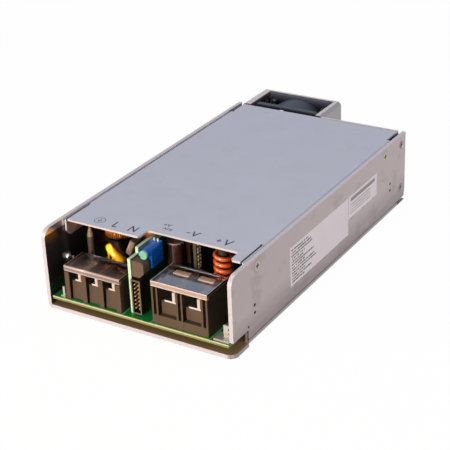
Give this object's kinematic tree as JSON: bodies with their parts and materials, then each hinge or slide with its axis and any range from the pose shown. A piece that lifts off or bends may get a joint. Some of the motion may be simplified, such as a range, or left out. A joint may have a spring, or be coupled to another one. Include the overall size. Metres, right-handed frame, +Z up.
{
  "type": "power supply",
  "caption": "Enclosed power supply in a flat folded metal case, with screw terminals under hinged clear lids at its open front, circuit boards inside and a fan in a rear pocket.",
  "frame": {"origin": "centre of the whole part's outline, on the underside of the base", "axes": "+Z up, +Y from the terminals at the front to the fan at the rear, +X to the right seen from the front"},
  "size_m": [0.1016, 0.2044, 0.0406],
  "materials": {
    "chassis": "satin plated sheet",
    "top_cover": "satin plated sheet",
    "rear_panel": "satin plated sheet",
    "cover_screws": "plated",
    "rear_screws": "plated",
    "earth_stud": "plated",
    "board_standoffs": "plated",
    "board_screws": "plated",
    "main_board": "green solder mask",
    "earth_bracket": "tinned",
    "front_post": "tinned",
    "ac_block": "moulded",
    "ac_clamps": "tinned",
    "ac_screws": "plated",
    "ac_lid": "clear moulded",
    "dc_block": "moulded",
    "dc_clamps": "tinned",
    "dc_screws": "plated",
    "dc_lid": "clear moulded",
    "signal_board": "green solder mask",
    "signal_socket": "moulded",
    "signal_pins": "gold plated",
    "switch_box": "moulded",
    "trimmer_body": "moulded",
    "trimmer_rotor": "moulded",
    "trimmer_pins": "tinned",
    "choke_core": "ferrite",
    "choke_winding": "enamelled copper",
    "choke_base": "moulded",
    "surge_disc": "dipped coating",
    "sleeved_fuse": "heat-shrink sleeve",
    "film_capacitor": "moulded",
    "control_capacitor": "sleeved can",
    "transformer_core": "ferrite",
    "transformer_winding": "taped winding",
    "rectifier_board": "green solder mask",
    "rectifier_pads": "solder",
    "output_choke_core": "ferrite",
    "output_choke_coil": "enamelled copper",
    "output_capacitors": "sleeved cans",
    "bulk_capacitors": "sleeved cans",
    "boost_choke": "enamelled copper winding",
    "heatsink": "extruded",
    "transistors": "moulded",
    "fan_frame": "moulded",
    "fan_rotor": "moulded",
    "fan_screws": "plated",
    "side_labels": "printed film, blank"
  },
  "bodies": {
    "supply": {"chassis": "chassis", "top_cover": "top_cover", "rear_panel": "rear_panel", "cover_screws": "cover_screws", "rear_screws": "rear_screws", "earth_stud": "earth_stud", "board_standoffs": "board_standoffs", "board_screws": "board_screws", "main_board": "main_board", "earth_bracket": "earth_bracket", "front_post": "front_post", "ac_block": "ac_block", "ac_clamps": "ac_clamps", "ac_screws": "ac_screws", "dc_block": "dc_block", "dc_clamps": "dc_clamps", "dc_screws": "dc_screws", "signal_board": "signal_board", "signal_socket": "signal_socket", "signal_pins": "signal_pins", "switch_box": "switch_box", "trimmer_body": "trimmer_body", "trimmer_pins": "trimmer_pins", "choke_core": "choke_core", "choke_winding": "choke_winding", "choke_base": "choke_base", "surge_disc": "surge_disc", "sleeved_fuse": "sleeved_fuse", "film_capacitor": "film_capacitor", "control_capacitor": "control_capacitor", "transformer_core": "transformer_core", "transformer_winding": "transformer_winding", "rectifier_board": "rectifier_board", "rectifier_pads": "rectifier_pads", "output_choke_core": "output_choke_core", "output_choke_coil": "output_choke_coil", "output_capacitors": "output_capacitors", "bulk_capacitors": "bulk_capacitors", "boost_choke": "boost_choke", "heatsink": "heatsink", "transistors": "transistors", "fan_frame": "fan_frame", "fan_screws": "fan_screws", "side_labels": "side_labels"},
    "fan_wheel": {"fan_rotor": "fan_rotor"},
    "trimmer_wheel": {"trimmer_rotor": "trimmer_rotor"},
    "mains_lid": {"ac_lid": "ac_lid"},
    "output_lid": {"dc_lid": "dc_lid"}
  },
  "joints": [
    {"name": "fan_spin", "type": "hinge", "parent": "supply", "child": "fan_wheel", "pos_m": [-0.023, 0.0898, 0.0203], "axis": [0, 1, 0], "continuous": true},
    {"name": "trimmer_turn", "type": "hinge", "parent": "supply", "child": "trimmer_wheel", "pos_m": [0.0004, -0.09325, 0.03605], "axis": [0, -1, 0], "range_deg": [-135, 135]},
    {"name": "mains_lid_hinge", "type": "hinge", "parent": "supply", "child": "mains_lid", "pos_m": [-0.02517, -0.0869, 0.021], "axis": [-1, 0, 0], "range_deg": [0, 90]},
    {"name": "output_lid_hinge", "type": "hinge", "parent": "supply", "child": "output_lid", "pos_m": [0.0224, -0.0833, 0.0253], "axis": [-1, 0, 0], "range_deg": [0, 90]}
  ]
}
